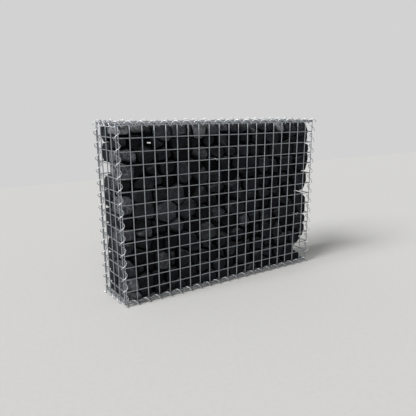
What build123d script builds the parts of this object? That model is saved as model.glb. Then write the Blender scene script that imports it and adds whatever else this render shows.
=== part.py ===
from build123d import *
import os
from itertools import accumulate
from math import cos, hypot, pi, radians, sin, sqrt

# A free-standing garden gabion: a basket of six welded mesh panels, laced together along its
# twelve edges by spiral binders, braced by spacer ties and filled with courses of broken stone.
# Millimetres. X runs along the wall, -Y is its front, +Z is up.
# The origin is on the ground under the middle of the basket.

# Driving dimensions
cell = 50.0              # mesh opening, centre to centre of the wires
cells_long = 20
cells_high = 14
cells_deep = 4
mesh_wire = 4.0          # wire of the panels
spiral_wire = 3.2        # wire of the binders
tie_wire = 3.5           # wire of the spacer ties
play = 0.3               # clearance between pieces that bear on each other
spiral_sides = 8         # straight pieces in one turn of a binder
through_run = 2          # straight pieces that the long binders run past a corner
corner_trim = 3          # straight pieces that the other binders stop short of a corner
long_lead = -15.0        # degrees from straight outwards at which a long binder passes its wires
upright_lead = -60.0     # the same for the upright binders
short_lead = 0.0         # and for the short ones along the ends
mitre_reach = 0.74       # how far a binder's mitred corners stand out, as a share of its wire
tie_hook = 9.0           # how far a tie's hooks reach down past the wire they hang on
joint_mouth = 0.18       # width of the upright joints between stones at the face, in cells
joint_reach = 0.7        # and how far they reach in from the face
bed_mouth = 0.18         # the same for the level joints between courses
bed_reach = 0.85
loose_corner = 0.5       # space that the stones leave at the back left corner, in cells

# Column and row of the ties, in cells from the lower left, or from the far side where negative
tie_places = {"upper": (8.6, -3), "lower": (-1.8, 5)}

# The stone courses from the bottom, all in cells: height, loose space at the left end and at the
# right, and the width and set-back of each stone of the front from left to right.
courses = (
    (2, 0.1, 0.7, (
        (1.2, 0.03), (1.5, 0.16), (1.4, 0.3), (1.4, 0.2), (1.6, 0.2), (1.7, 0.15), (1.7, 0.15),
        (1.7, 0.2), (1.3, 0.2), (1.0, 0.1), (1.4, 0.2), (1.5, 0.16), (1.2, 0.13), (1.4, 0.2),
    )),
    (1.5, 0, 0.5, (
        (1.1, 0.1), (1.0, 0.15), (0.9, 0.4), (1.0, 0.03), (1.0, 0.15), (1.1, 0.1), (1.1, 0.2),
        (1.0, 0.23), (0.9, 0.4), (0.9, 0.2), (1.0, 0.07), (1.1, 0.23), (1.1, 0.1), (1.1, 0.23),
        (1.5, 0.2), (1.9, 0.15), (1.3, 0.15),
    )),
    (1.5, 0.1, 0.3, (
        (1.1, 0.1), (1.5, 0.2), (1.4, 0.4), (1.4, 0.3), (1.7, 0.14), (1.7, 0.1), (1.9, 0.15),
        (1.5, 0.23), (1.0, 0.3), (1.0, 0.1), (1.2, 0.15), (1.4, 0.22), (1.5, 0.35), (1.7, 0.1),
    )),
    (2, 0, 0.3, (
        (1.2, 0.15), (1.5, 0.1), (1.6, 0.23), (1.5, 0.07), (1.2, 0.17), (1.2, 0.23), (1.6, 0.03),
        (1.5, 0.25), (1.4, 0.03), (1.3, 0.13), (1.2, 0.23), (1.1, 0.15), (1.1, 0.12), (1.1, 0.23),
        (1.5, 0.1),
    )),
    (2, 0.1, 0, (
        (1.3, 0.03), (1.6, 0.12), (1.6, 0.08), (1.6, 0.05), (1.8, 0.22), (1.8, 0.2), (1.3, 0.2),
        (1.2, 0.1), (1.4, 0.13), (1.4, 0.2), (1.4, 0.23), (1.6, 0.18), (2.0, 0.07),
    )),
    (2, 0.1, 0.12, (
        (1.2, 0.03), (1.4, 0.17), (1.3, 0.15), (1.3, 0.3), (1.4, 0.03), (1.5, 0.2), (1.4, 0.3),
        (1.2, 0.2), (1.4, 0.3), (1.6, 0.2), (1.4, 0.07), (1.3, 0.1), (1.1, 0.1), (1.5, 0.13),
    )),
    (1.5, 0, 0.6, (
        (1.6, 0.03), (1.6, 0.15), (1.5, 0.15), (1.6, 0.23), (1.8, 0.03), (1.7, 0.1), (1.3, 0.15),
        (1.3, 0.1), (1.3, 0.1), (1.2, 0.35), (1.1, 0.15), (1.6, 0.15), (2.4, 0.1),
    )),
    (1.5, 0.1, 0.6, (
        (1.1, 0.03), (1.1, 0.07), (1.2, 0.4), (1.4, 0.07), (1.2, 0.1), (0.9, 0.23), (1.1, 0.03),
        (1.2, 0.1), (1.1, 0.03), (1.1, 0.07), (1.1, 0.15), (1.0, 0.1), (1.0, 0.1), (1.2, 0.15),
        (1.3, 0.03), (1.4, 0.1), (1.5, 0.1),
    )),
)

# The basket is measured between the axes of its binders
length = cells_long * cell
height = cells_high * cell
depth = cells_deep * cell

# A panel's outermost wires are drawn in from the corner, so that the edge wires of both panels
# lie inside the binder's bore without touching. The end panels lap past the base and lid.
edge_inset = mesh_wire + play
end_lap = -(mesh_wire / 2 + play)

# The bore of a binder clears the far corner of the edge wires, and the lowest binders carry the
# basket on the ground.
bore_reach = hypot(edge_inset + mesh_wire / 2, mesh_wire)
spiral_radius = (bore_reach + play + spiral_wire / sqrt(2)) / cos(pi / spiral_sides)
spiral_reach = spiral_radius + mitre_reach * spiral_wire
foot = spiral_reach
top = foot + height

os.makedirs("parts", exist_ok=True)


def finish(piece, name):
    """Label a finished piece and write it to its own file."""
    piece.part.label = name
    export_step(piece.part, f"parts/{name}.step")


def wire_lines(count, inset):
    """Centre lines of one set of wires: on the mesh grid, with the two outermost ones inset."""
    half = count * cell / 2
    return [inset - half] + [i * cell - half for i in range(1, count)] + [half - inset]


def mesh_panel(plane, across, up, end_inset, outer_uprights=True):
    """Welded mesh on a plane that faces outwards, with one set of bars on the other's back."""
    outwards = mesh_wire if outer_uprights else -mesh_wire
    with BuildPart() as panel:
        with BuildSketch(plane):
            with Locations([(x, 0) for x in wire_lines(across, edge_inset)]):
                Rectangle(mesh_wire, up * cell - 2 * end_inset)
        extrude(amount=outwards)
        with BuildSketch(plane):
            with Locations([(0, y) for y in wire_lines(up, end_inset)]):
                Rectangle(across * cell - 2 * edge_inset, mesh_wire)
        extrude(amount=-outwards)
    return panel


# Panels: every wall has its uprights outside, and the base and lid have their long wires outside
front_plane = Plane(origin=(0, -depth / 2, foot + height / 2), x_dir=(1, 0, 0), z_dir=(0, -1, 0))
back_plane = Plane(origin=(0, depth / 2, foot + height / 2), x_dir=(-1, 0, 0), z_dir=(0, 1, 0))
left_plane = Plane(origin=(-length / 2, 0, foot + height / 2), x_dir=(0, -1, 0), z_dir=(-1, 0, 0))
right_plane = Plane(origin=(length / 2, 0, foot + height / 2), x_dir=(0, 1, 0), z_dir=(1, 0, 0))
base_plane = Plane(origin=(0, 0, foot), x_dir=(1, 0, 0), z_dir=(0, 0, -1))
lid_plane = Plane(origin=(0, 0, top), x_dir=(1, 0, 0), z_dir=(0, 0, 1))

for name, plane in (("front_panel", front_plane), ("back_panel", back_plane)):
    finish(mesh_panel(plane, cells_long, cells_high, edge_inset), name)
for name, plane in (("left_end_panel", left_plane), ("right_end_panel", right_plane)):
    finish(mesh_panel(plane, cells_deep, cells_high, end_lap), name)
for name, plane in (("base_panel", base_plane), ("lid_panel", lid_plane)):
    finish(mesh_panel(plane, cells_long, cells_deep, edge_inset, outer_uprights=False), name)


def binder(corner, along, outwards, cells, extra, lead):
    """Spiral binder: a right-handed helix of mitred square wire, one turn to each mesh cell.

    It passes every mesh wire on the outer side of the corner, turned by the lead from straight
    outwards, and runs the extra straight pieces past both of its end wires.
    """
    axis = Plane(origin=corner, x_dir=outwards, z_dir=along)
    turn = 2 * pi / spiral_sides
    turns = [
        axis.from_local_coords(
            (
                spiral_radius * cos(k * turn + radians(lead)),
                spiral_radius * sin(k * turn + radians(lead)),
                k * cell / spiral_sides,
            )
        )
        for k in range(-extra, cells * spiral_sides + extra + 1)
    ]
    with BuildPart() as spiral:
        with BuildLine() as path:
            Polyline(*turns)
        with BuildSketch(Plane(origin=path.line @ 0, z_dir=path.line % 0)):
            Rectangle(spiral_wire, spiral_wire)
        sweep(transition=Transition.RIGHT)
    return spiral


# Binders: the long ones run through over the corners, and the others stop short of them
for side, y in (("front", -1), ("back", 1)):
    for level, z, out in (("bottom", foot, -1), ("top", top, 1)):
        corner = (-length / 2, y * depth / 2, z)
        spiral = binder(corner, (1, 0, 0), (0, y, out), cells_long, through_run, long_lead)
        finish(spiral, f"{side}_{level}_spiral")
    for end, x in (("left", -1), ("right", 1)):
        corner = (x * length / 2, y * depth / 2, foot)
        spiral = binder(corner, (0, 0, 1), (x, y, 0), cells_high, -corner_trim, upright_lead)
        finish(spiral, f"{side}_{end}_spiral")
for end, x in (("left", -1), ("right", 1)):
    for level, z, out in (("bottom", foot, -1), ("top", top, 1)):
        corner = (x * length / 2, -depth / 2, z)
        spiral = binder(corner, (0, 1, 0), (x, 0, out), cells_deep, -corner_trim, short_lead)
        finish(spiral, f"{end}_{level}_spiral")

# Spacer ties: each lies on a level wire of the front and back panels and hooks down over it
tie_bend = tie_wire / 2 + play
hook_y = depth / 2 + tie_bend
tie_lines = {
    name: (column % cells_long * cell - length / 2, foot + row % cells_high * cell)
    for name, (column, row) in tie_places.items()
}
for name, (tie_x, wire_z) in tie_lines.items():
    tie_z = wire_z + mesh_wire / 2 + tie_bend
    tip_z = wire_z - tie_hook
    with BuildPart() as tie:
        with BuildLine(Plane.YZ.offset(tie_x)) as path:
            FilletPolyline(
                (-hook_y, tip_z), (-hook_y, tie_z), (hook_y, tie_z), (hook_y, tip_z), radius=tie_bend
            )
        with BuildSketch(Plane(origin=path.line @ 0, z_dir=path.line % 0)):
            RegularPolygon(tie_wire / 2, 6)
        sweep()
    finish(tie, f"{name}_spacer_tie")

# Stone courses: each bears on the one below and on the mesh, and its arrises clear the binders.
# Every stone's face stands back by its own amount, and the joints run in beside, over and under it.
fill_inset = mesh_wire + play
arris = sqrt(2) * (spiral_reach + play) - 2 * fill_inset
face_y = depth / 2 - fill_inset
half_joint = joint_mouth * cell / 2
joint_y = face_y - joint_reach * cell
tie_groove = mesh_wire / 2 + tie_wire + 2 * play
least_course = min(course[0] for course in courses)
course_rows = [0, *accumulate(course[0] for course in courses * cells_high)]
course_rows = [row for row in course_rows if row <= cells_high - least_course] + [cells_high]


def stone_faces(stones, left, right):
    """Outline of a long side that faces -Y, seen from above: its stones with the joints between."""
    widths = (width for width, _ in stones * cells_long)
    ends = [cells * cell - length / 2 for cells in accumulate(widths)]
    ends = [x for x in ends if x < right - cell / 2] + [right]
    faces = [face_y - set_back * cell for _, set_back in stones * cells_long][: len(ends)]
    outline = [(left, -faces[0])]
    for end, near, far in zip(ends, faces, faces[1:]):
        outline += [(end - half_joint, -near), (end, -joint_y), (end + half_joint, -far)]
    return outline + [(right, -faces[-1])]


def cut_box(x_low, x_high, y_low, y_high, cuts):
    """A rectangle whose corners, anticlockwise from the lower left, are cut off by (run, rise)."""
    lower_left, lower_right, upper_right, upper_left = cuts
    return [
        (x_low, y_low + lower_left[1]), (x_low + lower_left[0], y_low),
        (x_high - lower_right[0], y_low), (x_high, y_low + lower_right[1]),
        (x_high, y_high - upper_right[1]), (x_high - upper_right[0], y_high),
        (x_low + upper_left[0], y_high), (x_low, y_high - upper_left[1]),
    ]


corner_cut = (arris, arris)
loose_cut = (max(arris, loose_corner * cell),) * 2
bed_cut = (bed_reach * cell, bed_mouth * cell / 2)
for number, (low_row, high_row) in enumerate(zip(course_rows, course_rows[1:])):
    _, left_gap, right_gap, stones = courses[number % len(courses)]
    left = fill_inset - length / 2 + left_gap * cell
    right = length / 2 - fill_inset - right_gap * cell
    low = foot + low_row * cell + (play if low_row else fill_inset)
    high = foot + high_row * cell - (fill_inset if high_row == cells_high else 0)
    low_cut = bed_cut if low_row else corner_cut
    high_cut = corner_cut if high_row == cells_high else bed_cut
    front = stone_faces(stones, left, right)
    back = [(-x, -y) for x, y in stone_faces(stones, -right, -left)]
    level_cuts = (low_cut, low_cut, high_cut, high_cut)
    with BuildPart() as course:
        with BuildSketch(Plane.XY.offset(low)):
            Polygon(*front, *back, align=None)
            plan_cuts = (corner_cut, corner_cut, corner_cut, loose_cut)
            Polygon(*cut_box(left, right, -face_y, face_y, plan_cuts), align=None, mode=Mode.INTERSECT)
        extrude(amount=high - low)
        with BuildSketch(Plane.YZ.offset(-length / 2)):
            Polygon(*cut_box(-face_y, face_y, low, high, level_cuts), align=None)
        extrude(amount=length, mode=Mode.INTERSECT)
        with BuildSketch(Plane.XZ.offset(-depth / 2)):
            Polygon(*cut_box(left, right, low, high, level_cuts), align=None)
        extrude(amount=depth, mode=Mode.INTERSECT)
        for tie_x, wire_z in tie_lines.values():
            if low - 2 * play < wire_z < high - play:
                with Locations((tie_x, 0, wire_z)):
                    Box(tie_wire + 2 * play, depth, 2 * tie_groove, mode=Mode.SUBTRACT)
    finish(course, f"stone_course_{number + 1}")
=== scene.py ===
import bpy
import numpy as np
from mathutils import Matrix


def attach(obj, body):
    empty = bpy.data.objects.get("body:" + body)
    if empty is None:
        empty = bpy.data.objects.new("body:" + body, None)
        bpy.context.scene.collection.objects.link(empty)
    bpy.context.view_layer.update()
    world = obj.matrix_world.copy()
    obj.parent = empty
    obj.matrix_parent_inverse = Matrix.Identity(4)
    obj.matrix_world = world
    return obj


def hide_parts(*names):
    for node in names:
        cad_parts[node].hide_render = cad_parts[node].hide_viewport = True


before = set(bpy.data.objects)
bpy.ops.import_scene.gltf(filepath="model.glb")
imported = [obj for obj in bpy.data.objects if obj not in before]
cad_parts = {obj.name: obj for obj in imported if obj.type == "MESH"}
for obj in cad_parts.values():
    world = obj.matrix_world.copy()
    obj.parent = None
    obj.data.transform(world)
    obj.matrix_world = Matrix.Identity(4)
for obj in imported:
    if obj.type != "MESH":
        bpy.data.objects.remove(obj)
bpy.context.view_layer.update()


# The picture is taken from the front left of the basket, a little above its lid, with a lens a
# bit longer than normal and the view slid slightly up and to the left.
def stand(made, right, upwards, aim, place):
    """Puts a camera or a lamp at its place, looking along aim, with its own right and up."""
    made.matrix_world = Matrix([
        (right[k], upwards[k], -aim[k], place[k]) for k in range(3)
    ] + [(0.0, 0.0, 0.0, 1.0)])
    bpy.context.scene.collection.objects.link(made)


sight_right = np.array((0.80956, -0.58699, 0.00719))
sight_up = np.array((0.14936, 0.21781, 0.96450))
sight_forward = np.array((0.56771, 0.77975, -0.26400))
sight_from = np.array((-1.1681, -1.7055, 0.7821))
camera = bpy.data.objects.new("camera", bpy.data.cameras.new("camera"))
camera.data.sensor_width = 36.0
camera.data.lens = 39.855
camera.data.shift_x = -0.0485
camera.data.shift_y = 0.0563
stand(camera, sight_right, sight_up, sight_forward, sight_from)
bpy.context.scene.camera = camera
bpy.context.scene.view_settings.view_transform = "Standard"


# The basket stands on a plain pale ground in soft daylight: an even sky, a broad sun from high on
# the left that leaves the front in light shade, and a faint one that falls on the front.
class Nodes:
    """A node tree being written down: node() adds any node and gives back one of its outputs."""

    def __init__(self, tree):
        self.tree = tree

    def node(self, kind, settings=(), inputs=(), output=0):
        made = self.tree.nodes.new(kind)
        for name, value in dict(settings).items():
            if name == "stops":
                while len(made.color_ramp.elements) < len(value):
                    made.color_ramp.elements.new(0.5)
                for element, (position, colour) in zip(made.color_ramp.elements, value):
                    element.position = position
                    element.color = (*colour, 1.0)
            else:
                setattr(made, name, value)
        for name, value in dict(inputs).items():
            self.feed(made.inputs[name], value)
        return Socket(self, made.outputs[output])

    def feed(self, into, value):
        if isinstance(value, Socket):
            self.tree.links.new(value.socket, into)
        else:
            into.default_value = value


class Finish(Nodes):
    """A material being written down: surface() says what its shader is given."""

    def __init__(self, name):
        self.material = bpy.data.materials.new(name)
        self.material.use_nodes = True
        super().__init__(self.material.node_tree)

    def surface(self, **inputs):
        shader = self.tree.nodes["Principled BSDF"]
        for name, value in inputs.items():
            self.feed(shader.inputs[name.replace("_", " ")], value)
        return self.material


class Socket:
    """A number in a node tree: sums, differences and products of it add their Math nodes."""

    def __init__(self, nodes, socket):
        self.nodes = nodes
        self.socket = socket

    def math(self, operation, *values, clamp=False):
        settings = {"operation": operation, "use_clamp": clamp}
        return self.nodes.node("ShaderNodeMath", settings, dict(enumerate(values)))

    def __add__(self, other):
        return self.math("ADD", self, other)

    def __radd__(self, other):
        return self.math("ADD", other, self)

    def __sub__(self, other):
        return self.math("SUBTRACT", self, other)

    def __rsub__(self, other):
        return self.math("SUBTRACT", other, self)

    def __mul__(self, other):
        return self.math("MULTIPLY", self, other)

    def __rmul__(self, other):
        return self.math("MULTIPLY", other, self)

    def held(self):
        """The same number, held between 0 and 1."""
        return self.math("ADD", self, 0.0, clamp=True)


ground_reach = 30.0       # to the left, to the right and in front
ground_back = 3.1         # behind, where the sky begins
ground_dark = (0.49, 0.485, 0.475, 1.0)
ground_light = (0.54, 0.535, 0.525, 1.0)
ground = bpy.data.objects.new("ground", bpy.data.meshes.new("ground"))
ground.data.from_pydata(
    [
        (-ground_reach, -ground_reach, 0.0), (ground_reach, -ground_reach, 0.0),
        (ground_reach, ground_back, 0.0), (-ground_reach, ground_back, 0.0),
    ],
    [], [(0, 1, 2, 3)],
)
bpy.context.scene.collection.objects.link(ground)
pale_ground = Finish("pale_ground")
ground_place = pale_ground.node("ShaderNodeTexCoord", output="Object")
ground_grain = pale_ground.node(
    "ShaderNodeTexNoise", {}, {"Vector": ground_place, "Scale": 60.0, "Detail": 4.0}
)
ground.data.materials.append(pale_ground.surface(
    Base_Color=pale_ground.node(
        "ShaderNodeMix", {"data_type": "RGBA"},
        {"Factor": ground_grain, 6: ground_dark, 7: ground_light}, output=2,
    ),
    Roughness=0.9,
))

sky_colour = (0.80, 0.805, 0.80, 1.0)
sky_light = 0.42          # how strongly the sky lights the basket
sky_seen = 0.38           # and how much brighter it is where it is seen itself or mirrored
daylight = bpy.data.worlds.new("daylight")
daylight.use_nodes = True
sky = Nodes(daylight.node_tree)
seen = sum(
    sky.node("ShaderNodeLightPath", output=f"Is {kind} Ray")
    for kind in ("Camera", "Glossy", "Transmission")
)
background = sky.tree.nodes["Background"]
sky.feed(background.inputs["Color"], sky_colour)
sky.feed(background.inputs["Strength"], sky_light + seen.held() * sky_seen)
bpy.context.scene.world = daylight

sun_width = 31.0          # degrees across, so that shadows are soft
for lamp_name, sun_from, strength in (
    ("lamp_left", (-7.2, -1.0, 6.4), 4.1), ("lamp_front", (-2.4, -6.3, 4.6), 0.33),
):
    lamp = bpy.data.objects.new(lamp_name, bpy.data.lights.new(lamp_name, "SUN"))
    lamp.data.angle = np.radians(sun_width)
    lamp.data.energy = strength
    sun_aim = -np.array(sun_from) / np.linalg.norm(sun_from)
    sun_right = np.cross(sun_aim, (0.0, 0.0, 1.0))
    sun_right = sun_right / np.linalg.norm(sun_right)
    stand(lamp, sun_right, np.cross(sun_right, sun_aim), sun_aim, sun_from)

# Six panels of welded mesh: straight drawn wires, 4 mm thick, laid across each other every 50 mm,
# pressed a little into one another by the welder and then dipped in zinc, which dries dull grey.
cell = 0.05
basket_long, basket_deep, basket_high = 1.0, 0.2, 0.7
cells_long, cells_deep = round(basket_long / cell), round(basket_deep / cell)
cells_high = round(basket_high / cell)
wire = 0.004
set_in = 0.0003           # how far the welder presses each wire into the other's back
edge_in = 0.0043          # the outermost wires are drawn in from the corners
lapped = -(wire / 2 + 0.0003)      # the end panels lap past the base and lid by this much
long_half, deep_half = basket_long / 2, basket_deep / 2
low = 0.013219            # height of the lower corners, where the binders' axes run
high = low + basket_high
wire_sides = 10
bow_most = 0.00035        # how far drawn wire bows to a side, and the share of it outwards
bow_outwards = 0.25
bead_half, bead_flattened = 0.0024, 0.0009      # of a weld bead, and how much less it stands out


def piece(name, points, quads, caps=()):
    """A mesh object in the frame's own place: smooth four-sided faces and flat end caps."""
    made = bpy.data.objects.new(name, bpy.data.meshes.new(name))
    made.data.from_pydata(points.tolist(), [], quads.tolist() + list(caps))
    made.data.polygons.foreach_set("use_smooth", [True] * len(quads) + [False] * len(caps))
    made.data.update()
    bpy.context.scene.collection.objects.link(made)
    return made


def skin(index, turned=False):
    """Faces between the rings of each shape, where index numbers the points as (shape, ring,
    point): a square joins two points of a ring to those of the next, and a cap closes each end.
    Turned, they all face the other way.
    """
    near, far = index[:, :-1], index[:, 1:]
    quads = np.stack([near, np.roll(near, -1, 2), np.roll(far, -1, 2), far], 3).reshape(-1, 4)
    caps = np.concatenate([index[:, 0, ::-1], index[:, -1]])
    if turned:
        quads, caps = quads[:, [0, 3, 2, 1]], caps[:, ::-1]
    return quads, [tuple(cap) for cap in caps.tolist()]


def tubes(paths, beside, radius, sides):
    """Round wires along many paths of equal length.

    A point is path + radius * (cos(a) * s + sin(a) * u), where s is the unit vector across the
    path's direction and the given one, u the unit vector across the direction and s, and the
    angle a runs once round. Returns the points, the faces along each wire and its two end caps.
    """
    paths = np.asarray(paths, float)
    ahead = np.gradient(paths, axis=1)
    ahead /= np.linalg.norm(ahead, axis=2, keepdims=True)
    s = np.cross(np.broadcast_to(beside, ahead.shape), ahead)
    s /= np.linalg.norm(s, axis=2, keepdims=True)
    u = np.cross(ahead, s)
    a = np.arange(sides) * 2 * np.pi / sides
    ring = np.cos(a)[:, None] * s[:, :, None] + np.sin(a)[:, None] * u[:, :, None]
    points = paths[:, :, None] + radius * ring
    index = np.arange(points[..., 0].size).reshape(points.shape[:3])
    return points.reshape(-1, 3), *skin(index)


def beads(centres, radii, around=8, rings=6, pole=0.08):
    """Weld beads: flattened balls, radii * (sin(b) cos(a), sin(b) sin(a), cos(b)), where the
    angle a runs once round and b from one pole to the other, which are cut off flat.
    """
    a = np.arange(around) * 2 * np.pi / around
    b = np.linspace(pole, np.pi - pole, rings)
    ball = np.stack([
        np.sin(b)[:, None] * np.cos(a), np.sin(b)[:, None] * np.sin(a),
        np.cos(b)[:, None] + 0 * a,
    ], 2) * radii
    points = np.asarray(centres)[:, None, None] + ball
    index = np.arange(points[..., 0].size).reshape(points.shape[:3])
    return points.reshape(-1, 3), *skin(index, turned=True)


def together(*parts):
    """Several sets of points, faces and caps as one."""
    points, quads, caps, so_far = [], [], [], 0
    for part_points, part_quads, part_caps in parts:
        points.append(part_points)
        quads.append(part_quads + so_far)
        caps += [tuple(i + so_far for i in cap) for cap in part_caps]
        so_far += len(part_points)
    return np.concatenate(points), np.concatenate(quads), caps


def wire_places(cells, inset):
    """The mesh grid along one side, with the two outermost wires drawn in."""
    places = (np.arange(cells + 1) - cells / 2) * cell
    places[0] += inset
    places[-1] -= inset
    return places


def mesh_wires(middle, across, up, outwards, cells_across, cells_up, up_inset, layer):
    """Welded mesh on a plane: uprights on the layer's side of it and level wires on the other.

    A wire's path is straight, but bows by bow * sin(p + q * t) * (1 - t**4) to each side as drawn
    wire does, with t from -1 to 1 along it.
    """
    middle, across, up, outwards = (np.array(v, float) for v in (middle, across, up, outwards))
    x_places = wire_places(cells_across, edge_in)
    y_places = wire_places(cells_up, up_inset)
    x_end = cells_across * cell / 2 - edge_in
    y_end = cells_up * cell / 2 - up_inset
    offset = (wire / 2 - set_in) * layer
    seed = cells_across * 31 + cells_up + int(abs(middle).sum() * 1000)
    chance = np.random.default_rng(seed)

    def bowed(places, end, steps, place_axis, run_axis, side):
        t = np.linspace(-1.0, 1.0, steps)
        phase = chance.uniform(0, 2 * np.pi, (2, len(places), 1))
        pace = chance.uniform(2.0, 6.0, (2, len(places), 1))
        bow = bow_most * np.sin(phase + pace * t) * (1 - t**4)
        aside = places[:, None] + bow[0]
        return (
            middle + aside[..., None] * place_axis + (t * end)[None, :, None] * run_axis
            + (side + bow_outwards * bow[1])[..., None] * outwards
        )

    uprights = bowed(x_places, y_end, cells_up * 2 + 1, across, up, offset)
    levels = bowed(y_places, x_end, cells_across * 2 + 1, up, across, -offset)
    x_grid, y_grid = np.meshgrid(x_places, np.clip(y_places, -y_end, y_end))
    crossings = middle + x_grid.ravel()[:, None] * across + y_grid.ravel()[:, None] * up
    return together(
        tubes(uprights, outwards, wire / 2, wire_sides),
        tubes(levels, outwards, wire / 2, wire_sides),
        beads(crossings, bead_half - bead_flattened * abs(outwards)),
    )


dull = Finish("dull_zinc")
dull_place = dull.node("ShaderNodeTexCoord", output="Object")
mottle = dull.node("ShaderNodeTexNoise", {}, {"Vector": dull_place, "Scale": 90.0, "Detail": 5.0})
blotch = dull.node("ShaderNodeTexNoise", {}, {"Vector": dull_place, "Scale": 9.0, "Detail": 2.0})
spangle = dull.node(
    "ShaderNodeTexVoronoi", {}, {"Vector": dull_place, "Scale": 420.0}, output="Color"
)
dull_grey = dull.node(
    "ShaderNodeValToRGB",
    {"stops": (
        (0.30, (0.205, 0.218, 0.235)), (0.55, (0.28, 0.295, 0.315)), (0.75, (0.39, 0.404, 0.426)),
    )},
    {"Fac": (mottle * 0.6 + blotch * 0.4).held()},
)
dull_zinc = dull.surface(
    Base_Color=dull.node(
        "ShaderNodeMix", {"data_type": "RGBA", "blend_type": "OVERLAY"},
        {"Factor": 0.12, 6: dull_grey, 7: spangle}, output=2,
    ),
    Metallic=0.65,
    Roughness=(0.42 + mottle * 0.3).held(),
    Normal=dull.node(
        "ShaderNodeBump", {}, {"Height": mottle, "Strength": 0.25, "Distance": 0.0004}
    ),
)

# Each is (panel, its middle, the way across, up and outwards, cells across and up, how far its
# topmost and lowest wires are drawn in, whether its uprights lie outside or inside)
wall_middle = (low + high) / 2
for node, middle, across, up, outwards, cells_across, cells_up, up_inset, layer in (
    ("front_panel", (0, -deep_half, wall_middle), (1, 0, 0), (0, 0, 1), (0, -1, 0),
     cells_long, cells_high, edge_in, 1),
    ("back_panel", (0, deep_half, wall_middle), (-1, 0, 0), (0, 0, 1), (0, 1, 0),
     cells_long, cells_high, edge_in, 1),
    ("left_end_panel", (-long_half, 0, wall_middle), (0, -1, 0), (0, 0, 1), (-1, 0, 0),
     cells_deep, cells_high, lapped, 1),
    ("right_end_panel", (long_half, 0, wall_middle), (0, 1, 0), (0, 0, 1), (1, 0, 0),
     cells_deep, cells_high, lapped, 1),
    ("base_panel", (0, 0, low), (1, 0, 0), (0, -1, 0), (0, 0, -1),
     cells_long, cells_deep, edge_in, -1),
    ("lid_panel", (0, 0, high), (1, 0, 0), (0, 1, 0), (0, 0, 1),
     cells_long, cells_deep, edge_in, -1),
):
    welded = piece(node.replace("panel", "wires"), *mesh_wires(
        middle, across, up, outwards, cells_across, cells_up, up_inset, layer
    ))
    welded.data.materials.append(dull_zinc)
    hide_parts(node)
    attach(welded, "root")

# Twelve spiral binders: 3.2 mm wire coiled like a corkscrew and wound into the corners, one turn
# to a mesh cell. They are drawn after galvanising, so they shine more than the panels.
binder_wire = 0.0032
binder_sides = 8
coil_radius = 0.01070
coil_steps = 20           # points of the path to a turn
coil_waver = 0.0001       # how far each of two slow waves takes a coil from its radius
full_turn = 6.28          # of a phase that is left to chance, in radians


def coil(corner, along, outwards, cells, extra, lead):
    """Path of a binder: corner + along * s + R (cos(w) * outwards + sin(w) * across), with
    w = 2 pi s / cell + lead, and s from -extra to the far corner + extra, in eighths of a turn.
    """
    corner, along, outwards = (np.array(v, float) for v in (corner, along, outwards))
    outwards /= np.linalg.norm(outwards)
    across = np.cross(along, outwards)
    first, last = -extra * cell / 8, cells * cell + extra * cell / 8
    s = np.linspace(first, last, int(round((last - first) / cell * coil_steps)) + 1)
    w = s * 2 * np.pi / cell + np.radians(lead)
    chance = np.random.default_rng(int(abs(corner * 1000).sum()) + cells)
    p, q = chance.uniform(0, full_turn, 2)
    radius = coil_radius + coil_waver * np.sin(s * 37 + p) + coil_waver * np.sin(s * 91 + q)
    return (
        corner + s[:, None] * along
        + (radius * np.cos(w))[:, None] * outwards + (radius * np.sin(w))[:, None] * across
    )


bright = Finish("bright_zinc")
bright_place = bright.node("ShaderNodeTexCoord", output="Object")
streak = bright.node(
    "ShaderNodeTexNoise", {}, {"Vector": bright_place, "Scale": 130.0, "Detail": 3.0}
)
bright_zinc = bright.surface(
    Base_Color=bright.node(
        "ShaderNodeValToRGB",
        {"stops": ((0.35, (0.38, 0.39, 0.405)), (0.65, (0.60, 0.612, 0.625)))}, {"Fac": streak},
    ),
    Metallic=0.85,
    Roughness=(0.32 + streak * 0.24).held(),
    Normal=bright.node(
        "ShaderNodeBump", {}, {"Height": streak, "Strength": 0.15, "Distance": 0.0003}
    ),
)

# Each is (name, corner that it starts at, the way it runs, the way outwards, turns, how many
# eighths of a turn it runs past the corners, how far its turns lead or lag the wires in degrees)
coils = []
for side, y in (("front", -1), ("back", 1)):
    for level, z, out in (("bottom", low, -1), ("top", high, 1)):
        corner = (-long_half, y * deep_half, z)
        coils.append((f"{side}_{level}", corner, (1, 0, 0), (0, y, out), cells_long, 2, -15))
    for end, x in (("left", -1), ("right", 1)):
        corner = (x * long_half, y * deep_half, low)
        coils.append((f"{side}_{end}", corner, (0, 0, 1), (x, y, 0), cells_high, -3, -60))
for end, x in (("left", -1), ("right", 1)):
    for level, z, out in (("bottom", low, -1), ("top", high, 1)):
        corner = (x * long_half, -deep_half, z)
        coils.append((f"{end}_{level}", corner, (0, 1, 0), (x, 0, out), cells_deep, -3, 0))
for name, corner, along, outwards, turns, extra, lead in coils:
    path = coil(corner, along, outwards, turns, extra, lead)
    binder = piece(f"{name}_coil", *tubes(path[None], along, binder_wire / 2, binder_sides))
    binder.data.materials.append(bright_zinc)
    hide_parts(f"{name}_spiral")
    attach(binder, "root")

# Two spacer ties keep the long walls from bulging: 3.5 mm wire that lies on a level wire of the
# front and back, and is bent down over both by hand.
tie_wire = 0.0035
tie_bend = tie_wire / 2 + 0.0003
tie_drop = 0.009
tie_lean = 1.0            # how far its hooks lean aside from straight down, in radians
tie_leg_from = 0.004      # how far below the run the straight leg of a hook begins
tie_at = {"upper": (8.6, 11), "lower": (18.2, 5)}      # column, and row from the bottom


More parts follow.
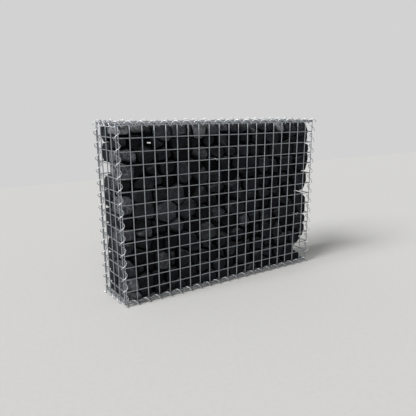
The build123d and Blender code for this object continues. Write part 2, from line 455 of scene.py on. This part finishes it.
def tie_path(x, wire_z, run_steps=14, bend_steps=6, leg_steps=3):
    """A straight run across the basket, a quarter turn at each end and a short leg, and both
    hooks lean aside: x + drop * sin(lean), y, z - drop * cos(lean).
    """
    z = wire_z + wire / 2 + tie_bend
    bend = np.linspace(0, np.pi / 2, bend_steps + 1)[1:]
    leg = np.linspace(tie_leg_from, tie_drop + wire / 2 + tie_bend, leg_steps)
    y = np.concatenate([
        np.linspace(0.0, deep_half, run_steps), deep_half + tie_bend * np.sin(bend),
        np.full(leg_steps, deep_half + tie_bend),
    ])
    drop = np.concatenate([np.zeros(run_steps), tie_bend * (1 - np.cos(bend)), leg])
    y = np.concatenate([-y[:0:-1], y])
    drop = np.concatenate([drop[:0:-1], drop])
    return np.stack([x + drop * np.sin(tie_lean), y, z - drop * np.cos(tie_lean)], 1)


for name, (column, row) in tie_at.items():
    path = tie_path(column * cell - long_half, low + row * cell)
    tie = piece(f"{name}_tie", *tubes(path[None], (1, 0, 0), tie_wire / 2, wire_sides))
    tie.data.materials.append(bright_zinc)
    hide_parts(f"{name}_spacer_tie")
    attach(tie, "root")

# The fill: eight courses of broken basalt blocks, laid dry by hand in two rows, with their flat
# faces against the front and the back, and small rubble thrown in between the two rows.

# The front row by courses from the top down, each block as (column from the left, row from the
# top, about how far its face stands back), in cells. The back row is the same one turned round.
front_blocks = {
    8: ((0.5, 0.45, 0), (1.65, 0.4, 0.05), (2.6, 0.5, 0.4), (3.9, 0.5, 0.05), (5.4, 0.45, 0.05),
        (6.35, 0.5, 0.2), (7.25, 0.45, 0), (8.5, 0.5, 0.1), (9.6, 0.45, 0), (10.7, 0.5, 0.05),
        (11.75, 0.5, 0.12), (12.8, 0.45, 0.05), (14.0, 0.5, 0.08), (15.0, 0.5, 0.1),
        (16.05, 0.45, 0), (17.4, 0.6, 0.1), (18.8, 0.75, 0.1), (0.6, 1.12, 0.1),
        (1.65, 1.25, 0.25), (3.6, 1.4, 0.1), (5.5, 1.4, 0.15), (7.0, 1.45, 0.2), (8.4, 1.4, 0.12),
        (9.6, 1.4, 0.05), (10.7, 1.5, 0.35), (12.1, 1.4, 0.08), (13.6, 1.4, 0.1),
        (15.3, 1.4, 0.12), (16.6, 1.5, 0.35), (17.8, 1.45, 0.12), (19.1, 1.45, 0.1)),
    7: ((0.95, 2.4, 0), (2.5, 2.45, 0.2), (4.1, 2.5, 0.2), (5.7, 2.4, 0.3), (7.4, 2.5, 0),
        (9.1, 2.4, 0.1), (10.5, 2.3, 0.15), (11.8, 2.5, 0.1), (13.2, 2.4, 0.1), (14.5, 2.4, 0.4),
        (15.6, 2.5, 0.15), (16.8, 2.4, 0.15), (18.8, 2.5, 0.1)),
    6: ((0.4, 3.6, 0.05), (0.5, 4.4, 0), (1.75, 3.7, 0.3), (2.9, 3.6, 0.2), (4.4, 3.5, 0.25),
        (5.8, 3.9, 0), (6.8, 3.5, 0.3), (7.6, 4.3, 0.1), (8.7, 3.5, 0.5), (8.9, 4.5, 0.2),
        (10.0, 3.5, 0.2), (11.5, 3.5, 0.15), (12.7, 3.6, 0.15), (14.3, 3.8, 0.05),
        (15.6, 4.1, 0.1), (16.9, 3.9, 0.1), (17.9, 4.5, 0.35), (19.0, 4.0, 0.12),
        (2.2, 4.6, 0.05), (3.5, 4.4, 0.1), (4.6, 4.5, 0.6), (10.6, 4.5, 0.7), (13.0, 4.7, 0.3)),
    5: ((0.5, 6.2, 0), (2.1, 5.5, 0.12), (3.5, 5.4, 0.12), (5.1, 5.6, 0), (6.6, 5.4, 0.6),
        (7.4, 6.1, 0.08), (9.0, 5.5, 0.05), (11.0, 5.5, 0.1), (13.0, 5.5, 0.12),
        (14.6, 5.5, 0.35), (15.6, 5.6, 0.25), (17.0, 5.4, 0.12), (19.0, 5.7, 0.05),
        (2.0, 6.6, 0.1), (4.0, 6.9, 0), (6.1, 7.0, 0), (8.8, 6.4, 0.35), (10.0, 6.5, 0.6),
        (11.6, 6.6, 0.1), (13.0, 6.5, 0.12), (14.4, 6.4, 0.05), (16.2, 6.6, 0.25),
        (17.5, 6.4, 0.25)),
    4: ((0.5, 7.5, 0.3), (0.55, 8.4, 0), (1.8, 7.6, 0.15), (2.1, 8.5, 0), (3.5, 8.6, 0.25),
        (5.0, 8.4, 0), (6.6, 8.5, 0.35), (7.5, 7.6, 0.3), (9.2, 7.9, 0), (11.2, 7.5, 0.1),
        (10.5, 8.9, 0.45), (12.0, 8.9, 0), (13.2, 7.6, 0.1), (13.5, 8.6, 0.15), (14.6, 7.5, 0.4),
        (14.6, 8.7, 0.1), (15.7, 7.5, 0.15), (16.7, 8.7, 0.1), (17.1, 7.5, 0.12),
        (19.1, 8.0, 0.08), (17.9, 8.6, 0.25)),
    3: ((0.5, 9.8, 0.1), (2.0, 9.5, 0.15), (3.5, 9.5, 0.45), (4.5, 9.6, 0.35), (6.0, 9.6, 0.08),
        (8.0, 9.3, 0), (8.1, 10.4, 0.12), (9.7, 10.2, 0.15), (11.6, 10.2, 0.25),
        (13.6, 10.0, 0.1), (12.6, 10.2, 0.35), (14.7, 10.1, 0.15), (15.6, 9.7, 0.35),
        (16.3, 10.3, 0.12), (17.6, 9.9, 0.4), (19.0, 10.2, 0.1), (1.6, 10.4, 0.3),
        (6.7, 10.4, 0.2)),
    2: ((0.5, 11.3, 0.1), (1.7, 11.4, 0.15), (2.6, 11.1, 0.45), (3.5, 11.1, 0),
        (4.6, 11.2, 0.15), (5.6, 11.3, 0.08), (6.8, 11.5, 0.2), (7.8, 11.4, 0.25),
        (8.7, 11.5, 0.45), (9.7, 11.5, 0.2), (10.6, 11.3, 0.05), (11.7, 11.5, 0.25),
        (12.8, 11.3, 0.1), (13.8, 11.4, 0.25), (14.9, 11.4, 0.2), (16.9, 11.5, 0.15),
        (18.7, 11.6, 0.15)),
    1: ((0.5, 12.7, 0), (1.9, 12.6, 0.12), (3.4, 12.6, 0.4), (4.6, 12.7, 0.25),
        (6.0, 12.6, 0.15), (7.8, 12.5, 0.15), (9.5, 12.6, 0.15), (10.7, 12.7, 0.3),
        (11.7, 12.6, 0.15), (12.7, 12.8, 0.3), (13.8, 12.6, 0.1), (15.2, 12.5, 0.12),
        (16.7, 12.6, 0.12), (17.6, 12.9, 0.12), (0.6, 13.6, 0), (2.0, 13.5, 0.2),
        (3.5, 13.5, 0.25), (5.0, 13.5, 0.15), (6.6, 13.5, 0.3), (8.1, 13.5, 0.15),
        (9.8, 13.5, 0.15), (11.4, 13.5, 0.2), (13.2, 13.5, 0.15), (14.8, 13.5, 0.3),
        (16.4, 13.5, 0.2), (18.9, 13.5, 0.2)),
}
# How much paler the faces of some blocks are, by their place in the table above: partly paler
# stone, and on the top course and the left column partly painted light from above and the left
paler_and_painted_light = {
    (0.5, 0.45): 0.75, (1.65, 0.4): 0.75, (3.9, 0.5): 0.25, (5.4, 0.45): 0.4, (7.25, 0.45): 0.5,
    (8.5, 0.5): 0.25, (9.6, 0.45): 0.4, (10.7, 0.5): 0.2, (12.8, 0.45): 0.4, (14.0, 0.5): 0.2,
    (15.0, 0.5): 0.15, (16.05, 0.45): 0.7, (17.4, 0.6): 0.15, (9.6, 1.4): 0.2, (0.95, 2.4): 0.4,
    (7.4, 2.5): 0.25, (0.4, 3.6): 0.6, (0.5, 4.4): 0.25, (0.5, 6.2): 0.5, (4.0, 6.9): 0.25,
    (5.1, 5.6): 0.15, (2.0, 6.6): 0.15, (0.55, 8.4): 0.3, (2.1, 8.5): 0.3, (5.0, 8.4): 0.2,
    (12.0, 8.9): 0.25, (8.0, 9.3): 0.2, (0.5, 9.8): 0.2, (3.5, 11.1): 0.25, (0.5, 11.3): 0.2,
    (10.6, 11.3): 0.15, (14.4, 6.4): 0.15, (0.5, 12.7): 0.45, (0.6, 13.6): 0.35,
}
# Small blocks by courses, as (column, row): those that fill up the middle behind the wider
# joints, those behind the joints at the right end, and those of the loose back left corner,
# which stand in place of the turned ones
middle_blocks = {
    8: ((1.5, 1.3), (3.6, 1.1)),
    7: ((3.6, 2.05), (8.0, 2.0), (4.95, 3.0)),
    6: ((2.6, 4.0), (5.9, 4.7), (9.5, 4.0)),
    5: ((1.4, 5.6), (19.4, 5.15)),
    4: ((0.9, 8.0), (4.3, 8.1)),
    3: ((19.0, 9.3),),
    2: ((1.9, 11.8),),
}
right_end_blocks = {2: ((19.5, 10.9),)}
back_left_blocks = {
    8: ((0.6, 0.5),), 7: ((0.55, 2.4),), 6: ((0.65, 4.6),), 5: ((0.6, 6.0),),
    4: ((0.6, 7.3), (0.6, 8.5)), 3: ((0.6, 9.8),), 2: ((0.6, 11.2),), 1: ((0.6, 12.6), (0.6, 13.5)),
}
# Places left empty, as (column, row, depth from the front), in cells
hollows = (
    (0.4, 5.1, 0.5), (2.3, 1.45, 0.2), (10.0, 9.4, 0.5), (20.3, -0.4, 0.9), (20.4, 6.75, 1.0),
    (19.4, 12.7, 0.9), (-0.2, 1.35, 4.2), (0.2, 3.65, 3.2), (1.4, 3.65, 3.8),
)
# How far each course stops short of the left and right ends and of the back left corner, in cells
end_gaps = {
    8: (0.0, 0.15, 0.1), 7: (0.0, 0.0, 0.0), 6: (0.05, 0.0, 0.1), 5: (0.0, 0.0, 0.1),
    4: (0.0, 0.0, 0.1), 3: (0.05, 0.05, 0.1), 2: (0.0, 0.3, 0.1), 1: (0.05, 0.35, 0.1),
}
row_depth = 0.5 * deep_half        # from the basket's middle to that of the back row's blocks
back_left_depth, right_end_depth = 0.6 * deep_half, -0.4 * deep_half
outermost = 0.55                   # from an end to the middle of its outermost blocks, in cells
loose_columns = 1.8                # how far the loose back left corner reaches, in cells
front_drift = (0, 0.25, 0)         # how far a block strays along, across and down, in cells
back_drift = (0.22, 0.25, 0.18)
deepest_face, face_stray = 0.7, 0.04      # how far back a face stands at most, and its stray
hidden_face = 0.1                  # and how far where it hardly shows
# Painted shade: a face that stands back is painted darker, by this much for each cell
painted_recess_shade = 0.35                # how much darker a face is, for each cell that it stands back


def spot(column, row, depth):
    """A point by its column from the left and row from the top, in cells, and its depth."""
    return column * cell - long_half, depth, high - row * cell


# Each is (its middle, how far its face stands back, its course, the side that it faces as
# -1 front, 1 back or 0 neither, how much paler it is: paler stone and painted light, less painted
# shade where its face stands back)
chance = np.random.default_rng(417)
fill = []
for course, blocks in front_blocks.items():
    left_gap, right_gap, _ = end_gaps[course]
    first_column, last_column = outermost + left_gap, cells_long - outermost - right_gap
    for column, row, back in blocks:
        for side in (-1, 1):
            seen_column = column if side < 0 else cells_long - column
            drift = chance.uniform(-1, 1, 3) * (front_drift if side < 0 else back_drift)
            if seen_column < loose_columns and side > 0:
                continue
            drifted = np.clip(seen_column + drift[0], first_column, last_column)
            face_back = min(back * (0.8 + back), deepest_face) + chance.uniform(0.0, face_stray)
            # Painted light on the paler front faces, and painted shade on faces that stand back
            fill.append((
                spot(drifted, row + drift[2], side * row_depth + drift[1] * cell),
                face_back * cell, course, side,
                paler_and_painted_light.get((column, row), 0.0) * (side < 0) - painted_recess_shade * back,
            ))
    for depth, places in (
        (back_left_depth, back_left_blocks[course]),
        (0.0, middle_blocks.get(course, ())),
        (right_end_depth, right_end_blocks.get(course, ())),
    ):
        for column, row in places:
            fill.append((spot(column, row, depth), hidden_face * cell, course, 1, 0.0))
laid_count = len(fill)

# Rubble thrown into the middle, packed tight, so that no daylight comes through the joints
rubble_wide, rubble_high = 1.3, 1.1
rubble_columns, rubble_rows = (2.2, 17.7), (0.8, 13.6)
rubble_drift, rubble_depth = 0.15, 0.1
course_ends = (1.6, 3.1, 5.0, 7.0, 9.0, 10.9, 12.2)      # the rows where a course ends
for line, row in enumerate(np.arange(*rubble_rows, rubble_high)):
    first_column = rubble_columns[0] + rubble_wide / 2 * (line % 2)
    for column in np.arange(first_column, rubble_columns[1], rubble_wide):
        drifted = column + chance.uniform(-rubble_drift, rubble_drift)
        height = row + chance.uniform(-rubble_drift, rubble_drift)
        depth = chance.uniform(-rubble_depth, rubble_depth) * cell
        course = len(front_blocks) - int(np.searchsorted(course_ends, height))
        fill.append((spot(drifted, height, depth), hidden_face * cell, course, 0, 0.0))

seeds, recess, course_of, facing, paleness_and_painted_light_and_shade = (np.array(values) for values in zip(*fill))
empty = np.array([spot(column, row, depth * cell - deep_half) for column, row, depth in hollows])
rubble_from = laid_count + len(empty)
neighbours = np.concatenate([seeds[:laid_count], empty, seeds[laid_count:]])
side_of = np.concatenate([facing[:laid_count], np.ones(len(empty)), facing[laid_count:]])


def ball_grid(divisions):
    """Directions for a block's surface: a cube's faces in squares of equal angle, pushed out to
    the unit ball, and the squares, with the points along the cube's edges shared.
    """
    line = np.tan(np.linspace(-np.pi / 4, np.pi / 4, divisions + 1))
    p, q = (m.ravel() for m in np.meshgrid(line, line, indexing="ij"))
    one = np.ones_like(p)
    sides = [
        np.stack(axes, 1) for axes in (
            (one, p, q), (-one, q, p), (q, one, p), (p, -one, q), (p, q, one), (q, p, -one)
        )
    ]
    first = np.arange(divisions)[:, None] * (divisions + 1) + np.arange(divisions)
    square = np.stack([first, first + divisions + 1, first + divisions + 2, first + 1], 2)
    squares = np.concatenate([square.reshape(-1, 4) + k * len(p) for k in range(6)])
    cube = np.concatenate(sides)
    _, kept, shared = np.unique(np.round(cube, 6), axis=0, return_index=True, return_inverse=True)
    ball = cube[kept]
    return ball / np.linalg.norm(ball, axis=1, keepdims=True), shared.ravel()[squares]


def soft_reach(directions, normals, offsets, softness, grazing=0.04, far_off=9.0):
    """How far a block reaches each way: the smallest offset / (normal . direction) of its planes,
    rounded over the arrises as -softness * log(sum(exp(-reach / softness))). A plane that the
    direction grazes, or runs away from, is far off.
    """
    meets = directions @ normals.T
    reach = np.where(meets > grazing, offsets / np.maximum(meets, grazing), far_off)
    nearest = reach.min(1, keepdims=True)
    return nearest[:, 0] - softness * np.log(np.exp((nearest - reach) / softness).sum(1))


# What bounds the fill: the level wires, the binders along the twelve edges, the ties, and a flat
# slit that lets the daylight through. A plane is (its normal, how far it stands from the origin).
fill_in = 0.0045          # the blocks stay inside the level wires
coil_clear = coil_radius + binder_wire / 2 + 0.0008
tie_clear = tie_wire / 2 + 0.001
wall_planes = [
    (np.array(normal, float), offset) for normal, offset in (
        ((-1, 0, 0), long_half - fill_in), ((1, 0, 0), long_half - fill_in),
        ((0, 0, -1), -(low + fill_in)), ((0, 0, 1), high - fill_in),
        ((0, -1, 0), deep_half - fill_in), ((0, 1, 0), deep_half - fill_in),
    )
]
left_wall, right_wall, _, _, front_wall, back_wall = wall_planes
corner_planes = []
for along in range(3):
    for a, b in ((-1, -1), (-1, 1), (1, -1), (1, 1)):
        slope = np.insert((float(a), float(b)), along, 0.0)
        corner = slope * (long_half, deep_half, 0)
        corner[2] = {-1: low, 0: 0, 1: high}[int(slope[2])]
        slope /= np.linalg.norm(slope)
        corner_planes.append((slope, slope @ corner - coil_clear))
slit_columns, slit_row, slit_half = (2.42, 2.66), 1.38, 0.0011
rods = []                 # each is (a point of it, the way it runs, how far the blocks keep off)
for column, row in tie_at.values():
    foot = (column * cell - long_half, 0.0, low + row * cell + wire / 2 + tie_bend)
    rods.append((np.array(foot), np.array((0.0, 1.0, 0.0)), tie_clear))
for column in slit_columns:
    slit = np.array(spot(column, slit_row, -deep_half))
    rods.append((slit, (slit - sight_from) / np.linalg.norm(slit - sight_from), slit_half))

neighbours_met = 25       # how many neighbours bound a block at most
rubble_near, rod_near = 0.12, 0.09           # rubble and rods farther off don't
joint_least, joint_more = 0.0004, 0.003      # half of a joint, and how much wider it may be
joint_tilt = 0.06
taper_most = 0.1          # how steeply a block's sides slant, so that joints open outwards
taper_depth = 0.04        # and how far behind its middle it has its full width
rubble_bed = 0.0005       # how far rubble is pressed in among itself
face_tilt, end_tilt, corner_tilt = 0.08, 0.09, 0.12
left_lean, right_lean, top_lean = -0.35, 0.12, 0.5      # of the faces of the outermost blocks
left_column, right_column, top_row = 1.3, 18.7, 1.0     # which lie beyond these, in cells
wall_play = 0.001


def joint_planes(number, chance):
    """The planes halfway to a block's neighbours, as normals and offsets from its seed. Those of
    laid blocks are drawn in by half a joint, tilted, and slant so that the joints between blocks
    of one row open towards their faces. Rubble lies tight.
    """
    laid = number < laid_count
    away = neighbours[:rubble_from if laid else None] - seeds[number]
    distance = np.linalg.norm(away, axis=1)
    near = np.argsort(distance)[1:neighbours_met + 1]
    normals = away[near] / distance[near, None]
    joint = joint_least + joint_more * chance.uniform(0, 1, len(near)) ** 3
    offsets = distance[near] / 2 - laid * joint
    offsets = offsets + rubble_bed * (not laid) * (near >= rubble_from)
    taper = laid * chance.uniform(0.0, taper_most)
    same_row = side_of[near] == facing[number]
    normals = normals + laid * chance.normal(0, joint_tilt, normals.shape)
    normals[:, 1] += taper * facing[number] * same_row
    offsets = offsets - taper * taper_depth * same_row
    return normals / np.linalg.norm(normals, axis=1, keepdims=True), offsets


def bounding_planes(number, chance):
    """What else bounds a block, as planes from its seed: the basket's walls and edges, the rubble
    behind a laid block, its own flat face, both ends of its course, the back left corner and the
    rods that pass by it.
    """
    seed = seeds[number]

    def tilted(normal, tilt, point, lean=0.0):
        """The plane through a point whose normal is turned by a lean and a little by chance."""
        normal = normal + chance.normal(0, tilt, 3) + lean
        normal /= np.linalg.norm(normal)
        return normal, point @ normal

    def inside(wall, back):
        """The point of a wall straight out from the seed, brought in by some distance."""
        normal, h = wall
        return normal * (h - np.dot(normal, seed) - back - wall_play)

    planes = [(normal, h - np.dot(normal, seed)) for normal, h in wall_planes + corner_planes]
    if number < laid_count:
        behind = seeds[laid_count:] - seed
        distance = np.linalg.norm(behind, axis=1)
        for k in np.flatnonzero(distance < rubble_near):
            planes.append((behind[k] / distance[k], distance[k] / 2 - joint_least))
    wall = front_wall if facing[number] < 0 else back_wall
    column, row = (seed[0] + long_half) / cell, (high - seed[2]) / cell
    lean = np.array((
        left_lean * (column < left_column) + right_lean * (column > right_column), 0.0,
        top_lean * (row < top_row),
    ))
    planes.append(tilted(wall[0], face_tilt, inside(wall, recess[number]), lean))
    left_gap, right_gap, corner_gap = (gap * cell for gap in end_gaps[course_of[number]])
    for end, gap in ((left_wall, left_gap), (right_wall, right_gap)):
        planes.append(tilted(end[0], end_tilt, inside(end, gap)))
    corner = (left_gap - long_half + fill_in, deep_half - fill_in - corner_gap, seed[2])
    slope, reach = tilted(np.array((-1, 1, 0)), corner_tilt, corner - seed)
    if reach > 0:
        planes.append((slope, reach))
    for point, along, clear in rods:
        gap = point + along * ((seed - point) @ along) - seed
        reach = np.linalg.norm(gap)
        if reach < rod_near:
            planes.append((gap / reach, reach - clear))
    return planes


# How finely the blocks of each side are drawn, and how they are worn: blows to their corners,
# which leave some share of the reach there, soft arrises, and waves over their faces
ball_of = {-1: ball_grid(14), 0: ball_grid(7), 1: ball_grid(10)}
face_blows, other_blows = 7, 5
hardest_face_blow, hardest_other_blow, lightest_blow = 0.86, 0.95, 0.99
hardest_right_blow, spared_column = 0.93, 18.5      # for the right end, beyond this column
hardest_rubble_blow = 0.98
rough_softness, rubble_softness, block_softness = 0.0004, 0.0003, (0.0006, 0.0016)
wave_paces = np.array((60, 90, 130, 190, 260, 340))
wave_heights, wave_scale = np.array((6, 5, 4, 3, 2, 2)), 0.00012
skin_off = 0.0002


def block(number):
    """One block round its seed: how far its planes reach each way, with a few blows that knock
    off its corners, drawn in by skin_off + abs(sum(height * sin(wave . point + phase))).
    """
    laid = number < laid_count
    chance = np.random.default_rng(1000 + number)
    joints = joint_planes(number, chance)
    bounding = bounding_planes(number, chance)
    normals = np.concatenate([joints[0], [normal for normal, _ in bounding]])
    offsets = np.concatenate([joints[1], [offset for _, offset in bounding]])
    directions, squares = ball_of[facing[number]]
    rough = directions * soft_reach(directions, normals, offsets, rough_softness)[:, None]
    blows = chance.normal(0, 1, (face_blows + other_blows, 3))
    blows[:face_blows] += (front_wall if facing[number] < 0 else back_wall)[0]
    blows /= np.linalg.norm(blows, axis=1, keepdims=True)
    at_right = (seeds[number, 0] + long_half) / cell > spared_column
    hardest = np.repeat(
        (hardest_right_blow if at_right else hardest_face_blow, hardest_other_blow),
        (face_blows, other_blows),
    )
    left_over = chance.uniform(hardest if laid else hardest_rubble_blow, lightest_blow)
    normals = np.concatenate([normals, blows])
    offsets = np.concatenate([offsets, (rough @ blows.T).max(0) * left_over])
    softness = chance.uniform(*block_softness) if laid else rubble_softness
    points = directions * soft_reach(directions, normals, offsets, softness)[:, None]
    waves = chance.normal(0, 1, (len(wave_paces), 3)) * wave_paces[:, None]
    phases = chance.uniform(0, full_turn, len(wave_paces))
    swell = np.sin(points @ waves.T + phases) @ wave_heights * wave_scale
    drawn_in = (abs(swell) + skin_off) / np.linalg.norm(points, axis=1)
    return seeds[number] + points * (1 - drawn_in)[:, None], squares


# Basalt breaks nearly black, with a paler grit, and what faces up is paler: pale dust and
# painted light from above
stone = Finish("broken_basalt")
stone_place = stone.node("ShaderNodeTexCoord", output="Object")
# Each block's tone, carrying painted light and painted shade
block_tone_and_painted_shading = stone.node("ShaderNodeAttribute", {"attribute_name": "tone"}, output="Fac")
cloud = stone.node(
    "ShaderNodeTexNoise", {},
    {"Vector": stone_place, "Scale": 28.0, "Detail": 6.0, "Roughness": 0.6},
)
grit = stone.node(
    "ShaderNodeTexNoise", {},
    {"Vector": stone_place, "Scale": 150.0, "Detail": 6.0, "Roughness": 0.75},
)
chips = stone.node(
    "ShaderNodeTexVoronoi", {}, {"Vector": stone_place, "Scale": 85.0}, output="Distance"
)
outside = stone.node("ShaderNodeNewGeometry", output="Normal")
upward = stone.node("ShaderNodeSeparateXYZ", {}, {"Vector": outside}, output="Z")
# Pale dust and painted light from above on what faces up, in clouds
dust_and_top_light = ((upward - 0.25) * 1.6).held() * ((cloud - 0.3) * 2.4).held()
dust_and_top_light_colour = (0.17, 0.172, 0.178, 1.0)
# Its grey follows that tone, painted light and shade included, with the cloud and the grit
basalt_grey = stone.node(
    "ShaderNodeValToRGB",
    {"stops": (
        (0.15, (0.004, 0.0043, 0.005)), (0.45, (0.0145, 0.0153, 0.0175)),
        (0.7, (0.045, 0.047, 0.052)), (1.0, (0.26, 0.267, 0.28)),
    )},
    {"Fac": (block_tone_and_painted_shading * 0.5 + cloud * 0.5 + grit * 0.9 - 0.435).held()},
)
broken_stone = stone.surface(
    Base_Color=stone.node(
        "ShaderNodeMix", {"data_type": "RGBA"},
        {"Factor": dust_and_top_light * 0.4, 6: basalt_grey, 7: dust_and_top_light_colour}, output=2,
    ),
    Roughness=(0.62 + grit * 0.35).held(),
    Specular_IOR_Level=0.06,
    Normal=stone.node(
        "ShaderNodeBump", {},
        {"Height": cloud * 0.4 + grit * 0.45 + chips * 0.15, "Strength": 1.0, "Distance": 0.004},
    ),
)

# A block has its own tone, with the painted light and shade above, and painted shade darkens
# it from a little behind the mesh to some way in
tone_range = (0.35, 0.6)
painted_shade_from, painted_shade_deep, painted_shade_rate = 0.002, 0.022, 22.0
for course in sorted(front_blocks):
    parts, block_tones_and_painted_shading = [], []
    for number in np.flatnonzero(course_of == course):
        points, squares = block(number)
        parts.append((points, squares, ()))
        tone = np.random.default_rng(5000 + number).uniform(*tone_range) + paleness_and_painted_light_and_shade[number]
        behind = np.minimum(long_half - abs(points[:, 0]), deep_half - abs(points[:, 1]))
        behind = np.minimum(behind, high - points[:, 2]) - fill_in
        # Painted shade, deeper the farther the point lies behind the mesh
        block_tones_and_painted_shading.append(tone - painted_shade_rate * np.clip(behind - painted_shade_from, 0.0, painted_shade_deep))
    laid_course = piece(f"basalt_course_{course}", *together(*parts))
    painted_shading_layer = laid_course.data.attributes.new("tone", "FLOAT", "POINT")
    painted_shading_layer.data.foreach_set("value", np.concatenate(block_tones_and_painted_shading))
    laid_course.data.materials.append(broken_stone)
    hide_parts(f"stone_course_{course}")
    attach(laid_course, "root")
